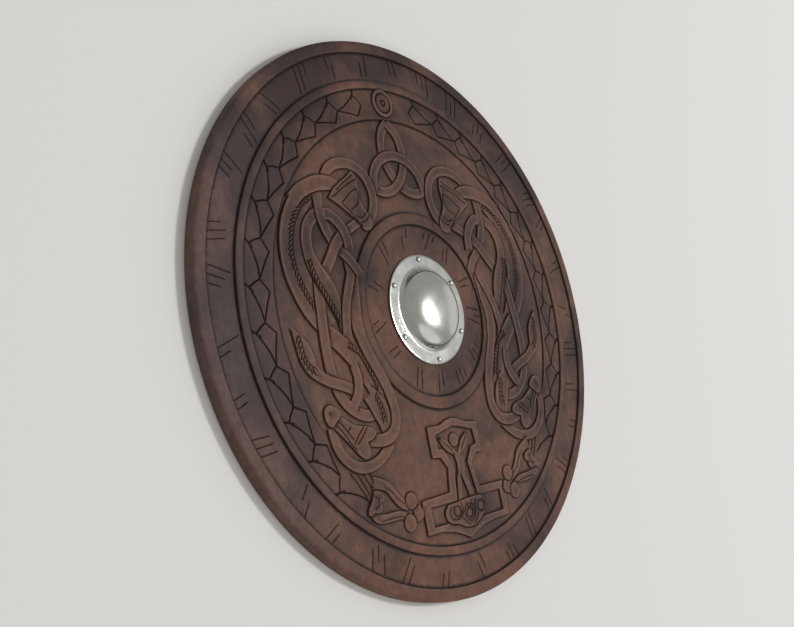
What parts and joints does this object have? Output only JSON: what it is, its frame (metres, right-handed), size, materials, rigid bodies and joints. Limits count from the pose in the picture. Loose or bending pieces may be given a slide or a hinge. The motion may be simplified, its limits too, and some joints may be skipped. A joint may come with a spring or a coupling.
{
  "type": "carved wooden round shield",
  "caption": "Round stained-wood shield with carved interlaced beasts, a hammer and scaled serpents in ringed bands round a nailed steel boss.",
  "frame": {"origin": "centre of the board's flat back face", "axes": "+Z out of the carved face, +Y towards the three-cornered knot at the top of the carving, +X to the right of the carving as it is looked at"},
  "size_m": [0.5, 0.5, 0.0266],
  "materials": {
    "stained_wood": "red-brown stain with near-black patches, satin",
    "boss_steel": "smooth polished steel",
    "nail_steel": "smooth steel"
  },
  "bodies": {
    "root": {"board": "stained_wood", "boss": "boss_steel", "nail_1": "nail_steel", "nail_2": "nail_steel", "nail_3": "nail_steel", "nail_4": "nail_steel", "nail_5": "nail_steel", "nail_6": "nail_steel"}
  },
  "joints": []
}
